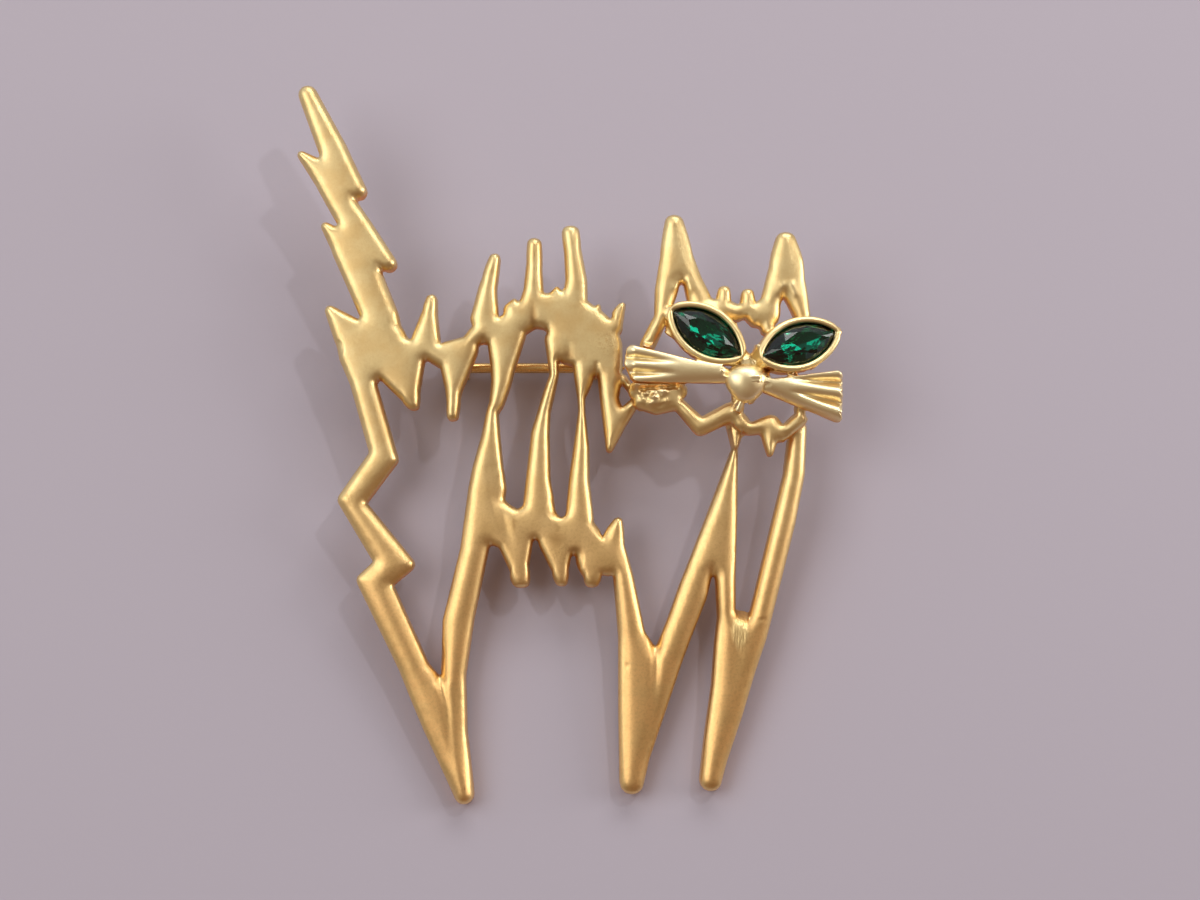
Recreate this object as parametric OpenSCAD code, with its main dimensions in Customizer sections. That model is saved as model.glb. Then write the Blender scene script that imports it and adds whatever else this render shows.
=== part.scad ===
// Cat brooch: an openwork cat cast in metal, with a raised head, two navette stones and a pin behind.
// It lies face up, resting on its feet and on the pin. +Z is up, +Y runs from the feet to the tail tip.

/* [Cat] */
// Width over which the body is laid out, from the tail to the whiskers
cat_w = 54; // [48:0.5:62]
// Height over which the body is laid out, from the hind foot to the tail tip
cat_h = 70; // [62:0.5:80]
// Thickness of the body casting
plate_t = 2.2; // [2:0.1:2.8]
// Height of the rolled edge on the face of the casting
edge_h = 0.85; // [0.4:0.05:1.1]
// Largest radius of a bar's rounded side, seen from above
bar_r = 1.2; // [0.9:0.05:1.4]
// Rise of a bar's face from its rolled edge to its middle
crown = 0.1; // [0.05:0.01:0.2]
// Radius of the sharp corners of the zigzag strut
zigzag_r = 0.75; // [0.5:0.05:1]

/* [Head] */
// Width over which the head is laid out
head_w = 21; // [19:0.5:24]
// Height over which the head is laid out
head_h = 24; // [22:0.5:27]
// Height of the head frame's back above the back of the body
head_rise = 1.8; // [1.5:0.1:1.9]
// Thickness of the head frame
frame_t = 2; // [1.6:0.1:2.6]

/* [Whiskers and nose] */
// Height of the whiskers' underside above the back of the body
whisker_rise = 3.6; // [3.2:0.1:3.6]
// Thickness of the whiskers
whisker_t = 1.7; // [1.4:0.1:2.4]
// Width of the nose
nose_w = 3.6; // [3:0.1:4.2]

/* [Stones] */
// Length of a navette stone
stone_l = 8; // [7.4:0.1:8.6]
// Width of a navette stone
stone_w = 4; // [3.6:0.1:4.4]
// Height of the stone above its girdle
crown_h = 0.9; // [0.6:0.05:1.2]
// Depth of the stone below its girdle
pavilion_h = 1.3; // [0.9:0.05:1.5]
// Thickness of the girdle
girdle_t = 0.2; // [0.1:0.05:0.3]
// Wall of a bezel
bezel_wall = 0.5; // [0.4:0.05:0.8]
// Height of a bezel's rim above the girdle's middle
rim_h = 0.3; // [0.2:0.05:0.5]
// Metal under the stone
bezel_floor = 0.5; // [0.3:0.05:0.8]
// Gap between a stone and its bezel
stone_gap = 0.06; // [0.04:0.01:0.12]
// Turn of the left stone, its inner end down
left_turn = 33; // [28:1:38]
// Turn of the right stone, its inner end down
right_turn = 20; // [15:1:25]
// Lean of the right stone, its outer end down
right_lean = 12; // [0:1:16]

/* [Pin] */
// Diameter of the pin stem
stem_d = 1; // [0.8:0.05:1.2]
// Distance of the stem's axis behind the casting
stem_drop = 3.4; // [2.8:0.1:4.5]
// Radius of the post and of the catch round the stem
knuckle_r = 1.2; // [0.9:0.05:1.5]
// Width of the post and of the catch along the stem
knuckle_w = 2.2; // [1.6:0.1:2.6]
// Thickness of the neck that carries the post or the catch
neck_t = 1.4; // [1:0.1:1.8]
// Length of the stem's point past the catch
point_l = 1.4; // [0.8:0.1:2]
// Gap between the pin's necks and the back of the casting
seat_gap = 0.05; // [0.02:0.01:0.1]

/* [Hidden] */
GOLD = [0.8, 0.64, 0.38];
EMERALD = [0, 0.3, 0.16];

// Sides of the rounded ends that the bars are made of
SIDES = 12;
// Points along one side of a navette
ARC = 8;
// Top of the web between the whisker ridges, top of the stub under the nose and underside of the ridges, as
// shares of the whiskers' thickness
WEB = 0.62;
STUB = 0.65;
RIDGE_SINK = 0.2;
// Thickness of the web in the foreleg, as a share of the body's
LEG_WEB = 0.55;
// Table of a stone, as a share of its outline
TABLE = 0.52;

// The cat is laid out on a grid of equal shares of its width and height, from its lower left corner, and the
// head on a grid of its own, from the nose.
CAT_GRID = [54, 70];
HEAD_GRID = [21, 24];
// Columns of a limb's table: a row is one section, given by a point on each of its two edges
X1 = 0;
Y1 = 1;
X2 = 2;
Y2 = 3;
// Place of the nose on the cat's grid
NOSE = [44.6, 41.2];

// Sections that limbs share
MIDDLE_FOOT = [31.8, 2.2, 34.2, 2.2];
HIND_FOOT = [15.9, 1, 17.8, 1];
FORE_FOOT = [39.5, 2.4, 41.7, 2.4];
HIND_ANKLE = [15, 3, 17.6, 3];
TAIL_ROOT = [6.7, 46.9, 10.4, 46.9];
THIGH = [17.1, 30.6, 20.9, 30.4];
KNEE_PLATE = [40.4, 28, 43.3, 28];

// Tail in three steps, each a run of sections from the upper to the lower end
TAIL_STEPS = [
    [[0.1, 69.5, 2, 69.5], [2.2, 63.8, 5.1, 63.8], [2.6, 61.3, 5.2, 61.3]],
    [[1.6, 61.3, 5.2, 61.3], [2.8, 59.1, 5.6, 59.1], [4.4, 56.3, 7.5, 56.3], [4.7, 54.1, 7.6, 54.1]],
    [[3.5, 54.1, 7.6, 54.1], [4, 53, 8, 53], [5.3, 50.1, 9.1, 50.1], TAIL_ROOT],
];
// Barbs of the tail and the haunch, each from its base to its point
BARBS = [
    [[1.6, 61, 4.2, 61.8], [0.1, 63.6, 0.9, 63.3]],
    [[3.4, 54.3, 6, 54.9], [2.5, 56.4, 3.4, 56.2]],
    [[2.3, 63.6, 5.1, 63.8], [5.4, 59.5, 6.8, 60.4]],
    [[4.6, 56.6, 7.4, 56.4], [8.4, 52.4, 9.9, 53]],
    [[4.2, 44.2, 7.4, 46.4], [3, 47.7, 4, 48.2]],
];
// Zigzag strut from the haunch to the hind foot
REAR_STRUT = [
    [6.2, 46.4, 10.9, 45.6],
    [4.2, 43.8, 10.6, 43.9],
    [5.4, 41, 8, 41.1],
    [7.5, 34.1, 10.2, 33.2],
    [4.4, 29.6, 7, 28.9],
    [8.1, 23.3, 11.9, 23.1],
    [6.3, 21.7, 9.7, 21.2],
    [10.4, 13.3, 13.4, 13.2],
    [11.6, 10.2, 14.8, 11.8],
    [12.8, 7.4, 15.6, 8.2],
    [15.1, 2.6, 17.2, 3],
];
// Three ribs, from the back to the belly. The first runs on into the hind leg.
RIBS = [
    [
        [18.9, 44.7, 22.6, 46],
        [19.2, 42.6, 21.7, 42.7],
        [19.3, 41, 21.3, 41],
        [19.1, 39, 20.6, 39],
        [18.8, 38, 20, 38],
        [18.3, 35.5, 20.2, 35.5],
        [17.5, 32.6, 20.5, 32.6],
        THIGH,
    ],
    [
        [24.6, 45.6, 26.4, 44.6],
        [24.8, 43, 25.9, 43],
        [25, 41.6, 25.9, 41.6],
        [24.3, 39.7, 25.5, 39.7],
        [23.8, 38, 25.1, 38],
        [23.2, 36, 25, 36],
        [22.7, 31.5, 25.1, 31.5],
        [22.4, 28.8, 25.6, 28.5],
    ],
    [
        [27.3, 43, 29.6, 42.4],
        [27.4, 41.3, 29.3, 41.3],
        [27.7, 39.4, 28.5, 39.4],
        [27.8, 38.2, 28.5, 38.2],
        [27.3, 34.4, 28.9, 34.4],
        [26.9, 31.5, 28.9, 31.5],
        [26.6, 28, 29.3, 27.2],
    ],
];
HIND_LEG = [
    THIGH,
    [16.4, 25.1, 19.1, 24.4],
    [14.7, 17.5, 17.7, 18.1],
    [14.6, 12.6, 16.9, 12],
    [14.9, 7, 17.1, 7],
    HIND_ANKLE,
    HIND_FOOT,
];
// Back, from the haunch to the neck: upper edge, then lower edge
BACK = [
    [9.4, 46.8, 8.6, 41.8],
    [11, 45.2, 10, 41.6],
    [12.9, 45, 12.9, 43.3],
    [15.1, 44.1, 15.2, 42],
    [16.3, 44.7, 16.5, 43.3],
    [17.6, 46.6, 18.4, 44.9],
    [20.5, 47.4, 20.5, 44.6],
    [23.4, 49.6, 23.4, 46.4],
    [25.4, 49.8, 25.4, 46],
    [27.6, 49.6, 26.7, 42.7],
    [29.8, 47.9, 29.7, 41.8],
    [30.4, 47.2, 30.5, 41.2],
    [30.9, 45.9, 31, 41.1],
];
// Hairs along the back, each from its base to its point
HAIRS = [
    [[11.5, 45.5, 14.2, 44.3], [13, 49.2, 13.8, 49.2]],
    [[17.2, 47, 20, 47.4], [17.9, 50, 19.8, 49.8], [19.1, 53.2, 20, 53.2]],
    [[20.6, 47.5, 22, 48.5], [21.3, 49, 21.8, 48.9]],
    [[21.9, 48, 24.6, 48.6], [22.4, 50, 24.4, 50], [22.9, 54.6, 24.1, 54.6]],
    [[25, 49.4, 26.4, 49.6], [25.5, 50.2, 25.9, 50.2]],
    [[26.4, 49.7, 28.5, 48.2], [26.7, 51.6, 28.5, 50.4], [26.3, 55.7, 27.8, 55.7]],
    [[28.6, 47.4, 30.2, 47.4], [29.6, 48.5, 30, 48.4]],
    [[30.7, 46.8, 32, 45.8], [31.9, 48.6, 32.3, 48.6]],
];
// Tufts that hang under the haunch and under the belly
TUFTS = [
    [[7.9, 41.8, 12.7, 43.6], [11.2, 38.7, 12.1, 38.6]],
    [[14, 43.5, 18, 44.6], [14.8, 40, 16.4, 40.3], [15.1, 37.6, 16, 37.6]],
    [[20, 25, 23.4, 25.8], [21.7, 21.4, 22.8, 21.4]],
    [[23.9, 25.8, 27.4, 24.8], [25.8, 21.4, 26.6, 21.4]],
    [[27.6, 24, 30.4, 22.8], [28.7, 21.3, 29.7, 21.5]],
    [[30.1, 25, 32.2, 25], [31.3, 27.5, 31.9, 27.3]],
];
// Chest, and the two hairs that join it to the chin round a small gap
CHEST = [[29.7, 42, 32.1, 41.3], [29.9, 39.4, 31.8, 39.4], [30.2, 37, 32.5, 37], [30.5, 34.4, 31.2, 34.4]];
CHEEK = [[31.2, 38, 32.4, 36.6], [32.2, 38.6, 32.8, 37.4], [33.1, 39.4, 33.7, 38.7]];
CHEEK_TOP = [[31.8, 41.2, 32.6, 41.4], [33.1, 39.5, 33.7, 39.8]];
// Belly: upper edge, then lower edge
BELLY = [
    [19.4, 30, 18.7, 25.3],
    [22, 28.3, 21.6, 24.2],
    [23.9, 29.5, 23.5, 26],
    [26, 27.4, 26, 23.8],
    [27.9, 28.5, 27.6, 24.3],
    [29.8, 25.9, 29.7, 22.6],
    [31, 25.6, 30.6, 22],
];
// Middle leg, and the strut that rises from its foot to the chin
MIDDLE_LEG = [
    [30.7, 25.2, 32.3, 25],
    [31.2, 22, 33.2, 22],
    [31.7, 16.3, 34.4, 16],
    [31.7, 14.1, 35.5, 14.6],
    [31.7, 9, 34.4, 9],
    MIDDLE_FOOT,
];
MIDDLE_STRUT = [
    KNEE_PLATE,
    [38.6, 23.6, 41, 22.6],
    [37.7, 21.3, 40.2, 19.6],
    [36.5, 18, 39.1, 16.8],
    [35.3, 15, 38.1, 14.2],
    [33.6, 10.6, 36.5, 9.5],
    [32.6, 5, 34.8, 4.6],
    MIDDLE_FOOT,
];
// Foreleg of two bars, from the chin to the foot
FRONT_BAR = [
    KNEE_PLATE,
    [41.1, 22, 43.1, 22],
    [41.3, 18, 43.1, 18],
    [41, 15.5, 43.4, 15.2],
    [40.7, 11.5, 43.2, 11.5],
    [40, 6.7, 42.4, 6.7],
    FORE_FOOT,
];
FORE_BAR = [
    [47.8, 31.9, 49.9, 31.9],
    [46.6, 27.2, 48.9, 26.8],
    [45.5, 22.5, 47.4, 21.2],
    [44.1, 17, 46.1, 16],
    [43.2, 14, 44.8, 12.5],
    [41.6, 8.8, 43.8, 9.6],
    [40.6, 4.6, 42.3, 4.6],
    FORE_FOOT,
];
// Thin web between the two bars of the foreleg
FORE_WEB = [[42.8, 17.9, 44.5, 17.9], [42.6, 15.2, 44, 15.2]];

// Head, on its own grid. Tops of the leg bars, under the chin
STRUT_TOP = [-1.8, -6.7, -1.2, -6.8];
FORE_TOP = [3.8, -5, 5.5, -4.6];
LEG_ROOT = [[-2.2, -4, -0.6, -5], [-1.8, -6.7, -1.2, -6.8]];
// Ears, each with an outer and an inner bar that meet at the tip
EAR_BARS = [
    [[-8.2, 15.2, -6.6, 15.2], [-8.9, 11.4, -6.4, 11.1], [-9.3, 8.5, -7, 8.9], [-9.4, 6, -8, 5.8], [-10.8, 3.3, -9.3, 3]],
    [[-8.2, 15.2, -6.6, 15.2], [-7.8, 11.8, -5.6, 12], [-6.6, 9.3, -4.7, 9.6], [-6.2, 7.6, -3.8, 7.6]],
    [[2.7, 13.5, 4.3, 13.5], [3.2, 11.1, 5, 11.5], [3.1, 8.3, 5.5, 8.7], [4.2, 6.2, 5.8, 6]],
    [[2.7, 13.5, 4.3, 13.5], [1.7, 10.5, 3.9, 10.3], [1, 7.7, 3.1, 7.8], [0.8, 5.6, 2.3, 5.9], [1, 4.4, 2.3, 5.2]],
];
// Brow between the ears: upper edge, then lower edge
BROW = [
    [-4.9, 8.2, -4.9, 6.2],
    [-3.6, 7.6, -3.3, 5.8],
    [-2.5, 7.6, -2.2, 5.6],
    [-1.5, 7.1, -1.2, 5.5],
    [-0.3, 7.5, -0.4, 6],
    [0.6, 7.2, 0.7, 4.9],
    [1.8, 8, 1.6, 4.9],
];
BROW_BUMPS = [
    [[-3.4, 7.2, -1.9, 7.2], [-3.1, 8.5, -2.1, 8.5]],
    [[-1, 7.1, 0.5, 7.1], [-0.8, 8.2, 0.2, 8.2]],
];
// Chin: upper edge, then lower edge, from the cheek to the foreleg
CHIN = [
    [-11.1, -2, -10.6, -3],
    [-9.2, -2.4, -9.2, -3.6],
    [-6.9, -1.9, -7.3, -3.1],
    [-4.6, -4, -5.2, -5.6],
    [-1.7, -2.4, -2.2, -4.2],
    [-0.1, -4.5, -0.4, -5.6],
    [2, -3.6, 1.8, -5.4],
    [2.8, -4.9, 2.9, -6.3],
    [4.5, -3.4, 4.9, -4.8],
];
CHIN_TUFT = [[0.9, -5, 2.8, -5.6], [1.1, -6.2, 2.5, -6.2], [1.5, -7.4, 2.1, -7.4]];
// Stub that rises from the end of the chin to the right whiskers
CHIN_END = [[4.2, -2.7, 5.2, -3], [4.3, -4, 5.3, -4.3]];
// Rough lumps between the left whiskers and the chin
LUMPS = [[-10.9, -0.2, -10.7, -2.4], [-9, -0.2, -9, -2.6], [-7, -0.4, -7.1, -2.2]];
// Stub that rises from the chin to the nose
CHIN_STUB = [[-1.9, -3, -0.7, -3], [-1.9, -0.8, -0.7, -0.8]];
// Seat of the nose, between the inner ends of the bezels
NOSE_SEAT = [[-1.5, 1.1, 1.5, 1.2], [-0.9, -0.5, 0.9, -0.5]];
// Middle of the nose
NOSE_MIDDLE = [0, -0.3];
// Whiskers: the root of each fan at the nose, then the ends of its ridges
FANS = [
    [[-1.1, 0.4, -1.1, -0.7], [-11.5, 3, -11.5, 1.7], [-11.6, 1.9, -11.6, 0.5], [-11, 0.7, -11, -0.7]],
    [[0.9, -0.4, 0.9, -1.5], [8.2, 0.5, 8.2, -0.6], [8.3, -1.5, 8.3, -2.4], [8.2, -3.6, 8.2, -4.5]],
];
// Centres of the stones
LEFT_EYE = [-4.4, 4.1];
RIGHT_EYE = [4.5, 3];

// Pin: places of the post and of the catch across the cat, and height of the stem, on the cat's grid
POST_ACROSS = 15.8;
CATCH_ACROSS = 29.9;
STEM_UP = 42.9;

// Sizes worked out from the ones above
cat_step = [cat_w / CAT_GRID.x, cat_h / CAT_GRID.y];
head_step = [head_w / HEAD_GRID.x, head_h / HEAD_GRID.y];
function on_cat(x, y) = [x * cat_step.x, y * cat_step.y];
function on_head(x, y) = on_cat(NOSE.x, NOSE.y) + [x * head_step.x, y * head_step.y];

// A section is [first centre, second centre, radius, height of its back, thickness]
function section(a, b, corner, rise, t) =
    let (d = norm(b - a))
    let (r = min(corner, d / 2))
    let (u = (b - a) / d)
    [a + u * r, b - u * r, r, rise, t];
function cat_sections(rows, corner = bar_r, t = plate_t) =
    [for (row = rows) section(on_cat(row[X1], row[Y1]), on_cat(row[X2], row[Y2]), corner, 0, t)];
function head_sections(rows, rise = head_rise, t = frame_t) =
    [for (row = rows) section(on_head(row[X1], row[Y1]), on_head(row[X2], row[Y2]), bar_r, rise, t)];

stem_y = on_cat(0, STEM_UP).y;
post_x = on_cat(POST_ACROSS, 0).x;
catch_x = on_cat(CATCH_ACROSS, 0).x;
// The girdle of a stone stands over the metal under it
girdle_z = head_rise + frame_t / 2 + bezel_floor + pavilion_h + girdle_t / 2 + stone_gap;

// The brooch lies on its hind foot and on the knuckles of the pin
hind_toe = cat_sections([HIND_FOOT])[0];
toe_y = hind_toe[0].y - hind_toe[2];
rest_run = stem_y - toe_y;
rest_tilt = atan(stem_drop / rest_run) + asin(knuckle_r / norm([rest_run, stem_drop]));

// The origin is under the middle of the cat as it lies
tail_tip = cat_sections([TAIL_STEPS[0][0]])[0];
left_x = min([for (s = cat_sections([TAIL_STEPS[0][0], BARBS[0][1]])) s[0].x - s[2]]);
fan_x = max([for (s = head_sections(FANS[1])) s[0].x + s[2]]);
eye_reach = stone_l / 2 * cos(right_turn) * cos(right_lean) + stone_gap + bezel_wall + rim_h * sin(right_lean);
right_x = max(fan_x, on_head(RIGHT_EYE.x, RIGHT_EYE.y).x + eye_reach);
top_y = (tail_tip[0].y + tail_tip[2]) * cos(rest_tilt);
low_y = toe_y * cos(rest_tilt) - (plate_t - edge_h) * sin(rest_tilt);
origin_x = (left_x + right_x) / 2;
origin_y = (top_y + low_y) / 2;

// Lays the brooch down, with the origin under the middle of it
module laid_down() {
    translate([-origin_x, -origin_y, -toe_y * sin(rest_tilt)])
        rotate([rest_tilt, 0, 0])
            children();
}

// Round end of a section, with a flat back and a rolled upper edge
module pebble(centre, r, rise, t) {
    roll = min(edge_h, 0.8 * r);
    drop = min(edge_h, 0.5 * t);
    translate([centre.x, centre.y, rise])
        rotate_extrude($fn = SIDES)
            polygon([
                [0, 0],
                [r, 0],
                [r, t - drop],
                [r - 0.3 * roll, t - 0.3 * drop],
                [r - roll, t],
                [0, t + crown],
            ]);
}

module pebbles(s) {
    pebble(s[0], s[2], s[3], s[4]);
    if (norm(s[1] - s[0]) > 0.01)
        pebble(s[1], s[2], s[3], s[4]);
}

// Bar through a run of sections
module limb(sections) {
    for (i = [1:len(sections) - 1])
        hull() {
            pebbles(sections[i - 1]);
            pebbles(sections[i]);
        }
}

module body() {
    for (rows = concat(TAIL_STEPS, RIBS, [BACK, BELLY, CHEST, CHEEK, CHEEK_TOP, HIND_LEG, MIDDLE_LEG]))
        limb(cat_sections(rows));
    for (rows = concat(BARBS, HAIRS, TUFTS))
        limb(cat_sections(rows));
    limb(cat_sections(REAR_STRUT, zigzag_r));
}

// Bars that run from the body up to the chin
module leg_bars() {
    strut_top = head_sections([STRUT_TOP], 0, plate_t);
    limb(concat(strut_top, cat_sections(MIDDLE_STRUT)));
    limb(concat(strut_top, cat_sections(FRONT_BAR)));
    limb(concat(head_sections([FORE_TOP], 0, plate_t), cat_sections(FORE_BAR)));
    limb(head_sections(LEG_ROOT, 0, head_rise + frame_t / 2));
    limb(cat_sections(FORE_WEB, t = LEG_WEB * plate_t));
    limb(concat(cat_sections([CHEEK[2]]), head_sections([CHIN[0]])));
}

module head_frame() {
    for (rows = concat(EAR_BARS, BROW_BUMPS, [BROW, CHIN, CHIN_END, CHIN_TUFT, LUMPS]))
        limb(head_sections(rows));
    for (rows = [CHIN_STUB, NOSE_SEAT])
        limb(head_sections(rows, head_rise, whisker_rise + STUB * whisker_t - head_rise));
}

// Fan of whiskers: ridges that spread from one root, over a thinner web
module fan(rows) {
    ridge_rise = RIDGE_SINK * whisker_t;
    sections = head_sections(rows, whisker_rise + ridge_rise, whisker_t - ridge_rise);
    for (i = [1:len(rows) - 1])
        limb([sections[0], sections[i]]);
    hull()
        for (s = head_sections(rows, whisker_rise, WEB * whisker_t))
            pebbles(s);
}

module nose() {
    centre = on_head(NOSE_MIDDLE.x, NOSE_MIDDLE.y);
    translate([centre.x, centre.y, whisker_rise + whisker_t / 2])
        hull() {
            scale([1, 0.9, 0.8])
                sphere(d = nose_w, $fn = 16);
            translate([0, -0.6 * nose_w, -0.1 * nose_w])
                sphere(d = 0.3 * nose_w, $fn = 8);
        }
}

// Points of a navette: two arcs that meet at its ends
function navette() =
    let (a = stone_l / 2)
    let (b = stone_w / 2)
    let (r = (a * a + b * b) / (2 * b))
    let (sweep = asin(a / r))
    let (side = [for (i = [0:ARC - 1]) let (t = sweep * (1 - 2 * i / ARC)) [r * sin(t), r * cos(t) - r + b]])
    concat(side, [for (p = side) -p]);

// Puts a bezel or a stone in its place, with the middle of the girdle at zero
module at_eye(eye, turn, lean) {
    centre = on_head(eye.x, eye.y);
    translate([centre.x, centre.y, girdle_z])
        rotate([0, lean, turn])
            children();
}

module bezel() {
    depth = girdle_t / 2 + pavilion_h + stone_gap;
    difference() {
        translate([0, 0, -depth - bezel_floor])
            linear_extrude(depth + bezel_floor + rim_h)
                offset(r = bezel_wall + stone_gap, $fn = 16)
                    polygon(navette());
        translate([0, 0, -depth])
            linear_extrude(depth + 2 * rim_h)
                offset(r = stone_gap, $fn = 16)
                    polygon(navette());
    }
}

// Faceted stone: a table, a crown, a girdle and a pavilion that ends in a point
module stone() {
    ring = navette();
    n = len(ring);
    // Rows of the cut: height, and size as a share of the outline
    cut = [[girdle_t / 2 + crown_h, TABLE], [girdle_t / 2, 1], [-girdle_t / 2, 1]];
    corners = [for (row = cut) for (p = ring) [p.x * row[1], p.y * row[1], row[0]]];
    culet = [0, 0, -girdle_t / 2 - pavilion_h];
    table = [for (i = [n - 1:-1:0]) i];
    walls = [for (k = [0, n]) for (i = [0:n - 1]) [k + i, k + (i + 1) % n, k + n + (i + 1) % n, k + n + i]];
    pavilion = [for (i = [0:n - 1]) [2 * n + i, 2 * n + (i + 1) % n, 3 * n]];
    polyhedron(concat(corners, [culet]), concat([table], walls, pavilion));
}

// Post or catch: a neck and a round knuckle that holds the stem, as one extruded outline
module knuckle(x) {
    translate([x - knuckle_w / 2, stem_y, 0])
        rotate([90, 0, 90])
            linear_extrude(knuckle_w)
                union() {
                    translate([0, -stem_drop])
                        circle(r = knuckle_r, $fn = 48);
                    translate([-neck_t / 2, -stem_drop])
                        square([neck_t, stem_drop - seat_gap]);
                }
}

module cat_casting() {
    laid_down()
        color(GOLD)
            union() {
                body();
                leg_bars();
                head_frame();
                for (rows = FANS)
                    fan(rows);
                nose();
                at_eye(LEFT_EYE, -left_turn, 0)
                    bezel();
                at_eye(RIGHT_EYE, right_turn, right_lean)
                    bezel();
            }
}

module eye_stone_left() {
    laid_down()
        color(EMERALD)
            at_eye(LEFT_EYE, -left_turn, 0)
                stone();
}

module eye_stone_right() {
    laid_down()
        color(EMERALD)
            at_eye(RIGHT_EYE, right_turn, right_lean)
                stone();
}

module pin_back() {
    stem_end = catch_x + knuckle_w / 2;
    laid_down()
        color(GOLD)
            union() {
                knuckle(post_x);
                knuckle(catch_x);
                translate([post_x, stem_y, -stem_drop])
                    rotate([0, 90, 0])
                        cylinder(d = stem_d, h = stem_end - post_x, $fn = 48);
                translate([stem_end, stem_y, -stem_drop])
                    rotate([0, 90, 0])
                        cylinder(d1 = stem_d, d2 = 0.3 * stem_d, h = point_l, $fn = 48);
            }
}

cat_casting();
eye_stone_left();
eye_stone_right();
pin_back();
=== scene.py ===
import math

import bmesh
import bpy
import numpy as np
from mathutils import Matrix, Vector, noise
from mathutils.kdtree import KDTree


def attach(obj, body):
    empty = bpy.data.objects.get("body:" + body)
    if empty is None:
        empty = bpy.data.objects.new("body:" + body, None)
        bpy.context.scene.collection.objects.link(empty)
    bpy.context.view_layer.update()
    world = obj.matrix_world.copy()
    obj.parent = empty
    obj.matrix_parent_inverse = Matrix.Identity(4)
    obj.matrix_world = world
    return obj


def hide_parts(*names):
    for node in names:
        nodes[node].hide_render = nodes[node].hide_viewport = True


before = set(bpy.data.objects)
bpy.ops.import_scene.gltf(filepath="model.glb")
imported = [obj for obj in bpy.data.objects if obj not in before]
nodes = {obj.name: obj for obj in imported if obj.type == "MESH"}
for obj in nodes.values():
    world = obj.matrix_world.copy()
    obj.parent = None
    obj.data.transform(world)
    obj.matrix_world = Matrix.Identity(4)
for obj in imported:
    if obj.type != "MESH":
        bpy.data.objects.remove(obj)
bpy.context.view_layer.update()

# Looks of a cat brooch in matte gold-coloured metal with two green stones. All lengths are in metres.
MM = 0.001

# Camera: the photograph looks down on the brooch from its feet. The angle is in degrees over the surface, and
# the focal length and the sensor are in mm.
CAMERA_UP = 79
CAMERA_LENS = 65.5
CAMERA_SENSOR = 36
CAMERA_AWAY = 215 * MM
CAMERA_AIM = Vector((3.2, -0.65, 3)) * MM
CAMERA_NEAR = 10 * MM

# Scale of the photograph, and the pixel where the lower left corner of the casting's flat box lies
PIXELS_PER_MM = 10.2
CORNER_PIXEL = (295.7, 800.5)

# Casting: heights are above its back
VOXEL = 0.135 * MM
FACES = 190000
PLATE_TOP = 2.2 * MM
FRAME_TOP = 3.8 * MM
WHISKER_LEVEL = 3.95 * MM
# A point belongs to a wall where its normal leans less than this out of the plate, and is rolled as part of
# a face where it leans more than that
WALL_LEAN = 0.4
FACE_LEAN = -0.2
# Body, then head frame: lower and upper limit of the walls, then of the faces, then the top
LEVELS = [
    (0.3 * MM, 1.2 * MM, 1.33 * MM, 2.5 * MM, PLATE_TOP),
    (2.05 * MM, 2.85 * MM, 2.93 * MM, 4.05 * MM, FRAME_TOP),
]

# Rolled edges: their height, their greatest width on each part of the cat, and the least way to a wall
ROLL_HEIGHT = 0.85 * MM
PLATE_ROLL = 0.8 * MM
BELLY_ROLL = 0.5 * MM
HEAD_ROLL = 1.3 * MM
LEG_ROLL = 1.5 * MM
LEAST_AWAY = 0.01 * MM
# On a narrow bar they take this share of half its width, and never less than the least width
ROLL_SHARE = 0.9
LEAST_ROLL = 0.25 * MM
# Limits of a point's height in the roll, as a share of the roll's height
RISE_LIMITS = (0.03, 2)
# The bars grow rounder from the upper of these two heights up the cat to the lower one
ROUND_BELOW = (20 * MM, 34 * MM)
# but not those of the belly and its teeth: middle and reach in pixels, and how steeply that place begins
BELLY = ((550, 562), (66, 58))
BELLY_EDGE = 3

# Low crown of the faces: its height, its share of half the local width, and the limits of its reach
CROWN = 0.14 * MM
CROWN_SHARE = 1.2
CROWN_REACH = (0.5 * MM, 2.2 * MM)

# Rounds of smoothing: after the remesh, for half the local width, for the height of the faces, for the whole
# body and for what stands over the whiskers' level
VOXEL_ROUNDS = 8
HALF_WIDTH_ROUNDS = 9
FACE_ROUNDS = 26
BODY_ROUNDS = 16
HEAD_ROUNDS = 6

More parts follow.
